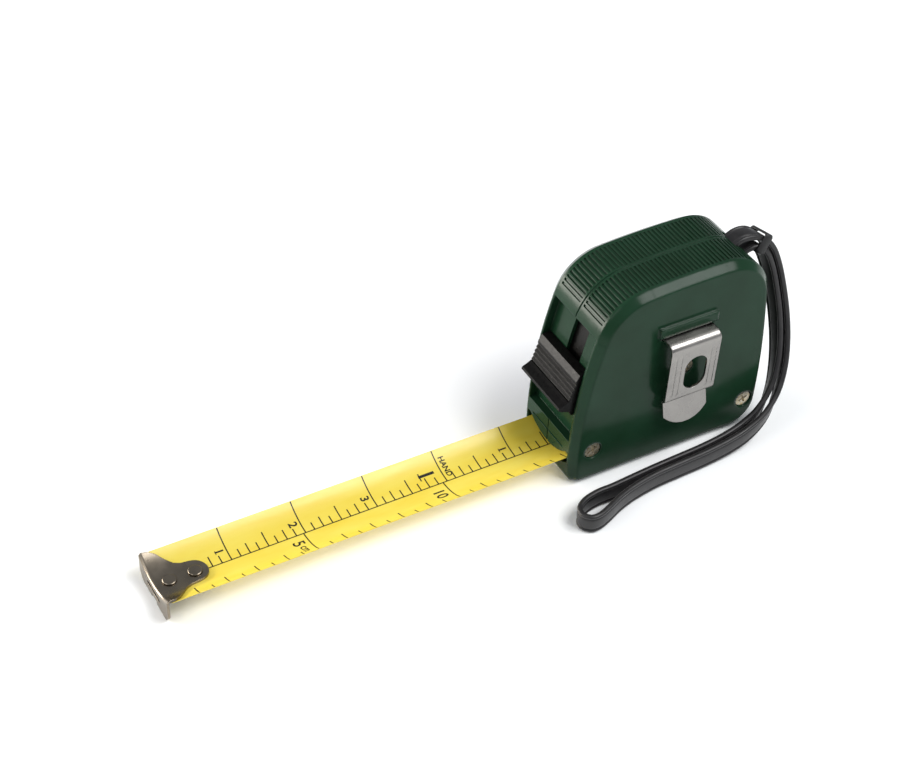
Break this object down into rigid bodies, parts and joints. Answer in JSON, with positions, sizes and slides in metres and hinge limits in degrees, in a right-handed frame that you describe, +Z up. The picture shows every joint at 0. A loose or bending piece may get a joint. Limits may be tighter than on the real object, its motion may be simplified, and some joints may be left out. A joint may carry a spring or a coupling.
{
  "type": "tape measure",
  "caption": "Pocket tape measure: D-shaped two-part case, curved steel blade with end hook, sprung reel, sliding thumb lock, belt clip and wrist strap.",
  "frame": {"origin": "centre of the case's flat base", "axes": "+X the way the blade pulls out, +Z up, +Y the belt-clip side"},
  "size_m": [0.2247, 0.054, 0.072],
  "materials": {
    "case_green": "glossy",
    "label_print": "glossy",
    "screw_steel": "satin",
    "post_steel": "satin",
    "black_plastic": "matte",
    "bumper_rubber": "matte",
    "drum_plastic": "matte",
    "blade_yellow": "satin",
    "spring_steel": "satin",
    "rivet_nickel": "polished",
    "hook_nickel": "polished",
    "lock_black": "satin",
    "clip_plated": "polished",
    "strap_black": "satin"
  },
  "bodies": {
    "case": {"shell_label": "case_green", "shell_clip": "case_green", "label": "label_print", "screw_front_side": "screw_steel", "screw_rear_side": "screw_steel", "screw_centre": "screw_steel", "arbor": "post_steel", "strap_pin": "post_steel", "brake_pad": "black_plastic", "blade_guide": "black_plastic", "mouth_bumper": "bumper_rubber", "strap": "strap_black", "strap_keeper": "strap_black", "blade_strip": "blade_yellow"},
    "reel": {"drum": "drum_plastic", "drum_cover": "drum_plastic", "blade_coil": "blade_yellow", "blade_anchor": "spring_steel", "mainspring": "spring_steel"},
    "blade_tip": {"blade_end": "blade_yellow", "blade_backing": "post_steel", "rivet_near": "rivet_nickel", "rivet_far": "rivet_nickel"},
    "end_hook": {"hook": "hook_nickel"},
    "lock": {"lock_button": "lock_black", "lock_slider": "lock_black"},
    "clip": {"belt_clip": "clip_plated"}
  },
  "joints": [
    {"name": "blade_pull", "type": "slide", "parent": "case", "child": "blade_tip", "axis": [1, 0, 0], "range_m": [-0.138, 4.86], "deforming": ["blade_strip"]},
    {"name": "reel_turn", "type": "hinge", "parent": "case", "child": "reel", "pos_m": [-0.004, 0, 0.036], "axis": [0, 1, 0], "continuous": true, "deforming": ["mainspring"]},
    {"name": "hook_play", "type": "slide", "parent": "blade_tip", "child": "end_hook", "axis": [1, 0, 0], "range_m": [-0.0005, 0.0005]},
    {"name": "lock_slide", "type": "hinge", "parent": "case", "child": "lock", "pos_m": [-0.123, 0, 0.008], "axis": [0, -1, 0], "range_deg": [0, 4.44]},
    {"name": "clip_spring", "type": "hinge", "parent": "case", "child": "clip", "pos_m": [-0.0032, 0.01585, 0.0552], "axis": [1, 0, 0], "range_deg": [0, 5], "stiffness_Nm_per_rad": 3}
  ],
  "couplings": [
    {"joint": "reel_turn", "follows": "blade_pull", "rad_per_m": -37.9}
  ]
}
